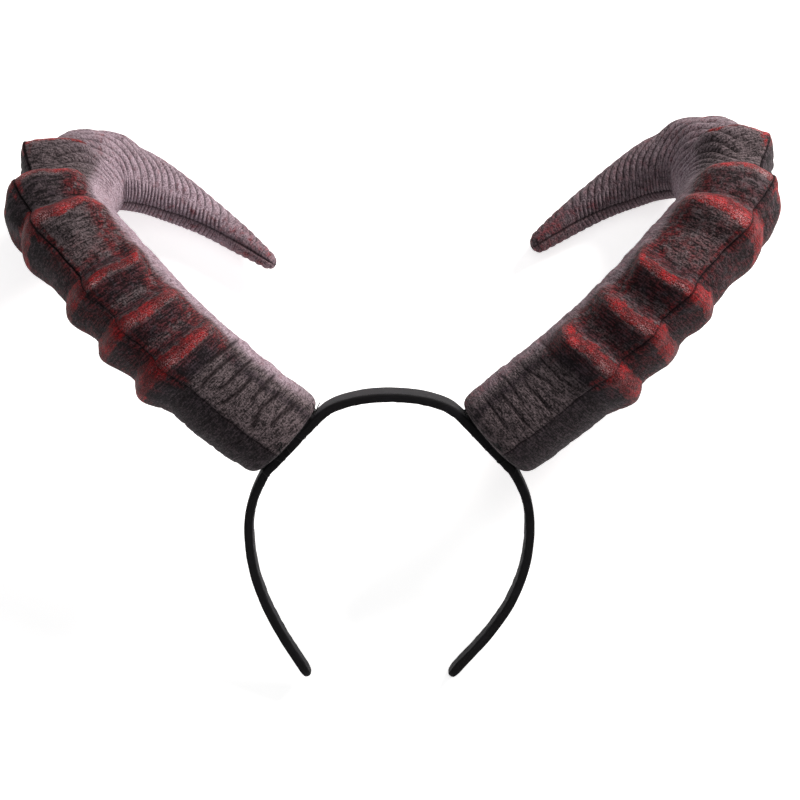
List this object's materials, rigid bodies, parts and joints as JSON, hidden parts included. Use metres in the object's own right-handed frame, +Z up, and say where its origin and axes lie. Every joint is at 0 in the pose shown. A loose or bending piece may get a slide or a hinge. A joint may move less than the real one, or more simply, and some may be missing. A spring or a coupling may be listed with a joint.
{
  "type": "devil horn headband",
  "caption": "Hair band carrying two large curled, ringed foam horns on felt foot pads; a costume headdress.",
  "frame": {"origin": "middle of the bounding box, on the surface the headband lies on", "axes": "+X from the viewer's left horn to the right one, +Y from the band's ends towards its crown and the curls, +Z up from the surface, out of the headband's front"},
  "size_m": [0.3624, 0.2724, 0.1054],
  "materials": {
    "band_cloth": "matt black cloth over a plastic core",
    "pad_felt": "matt black felt",
    "horn_skin": "formed foam-backed cloth, charcoal with dry-brushed dark red ridges"
  },
  "bodies": {
    "root": {"hair_band": "band_cloth", "left_foot_pad": "pad_felt", "right_foot_pad": "pad_felt", "left_horn_upper_shell": "horn_skin", "left_horn_lower_shell": "horn_skin", "right_horn_upper_shell": "horn_skin", "right_horn_lower_shell": "horn_skin"}
  },
  "joints": []
}
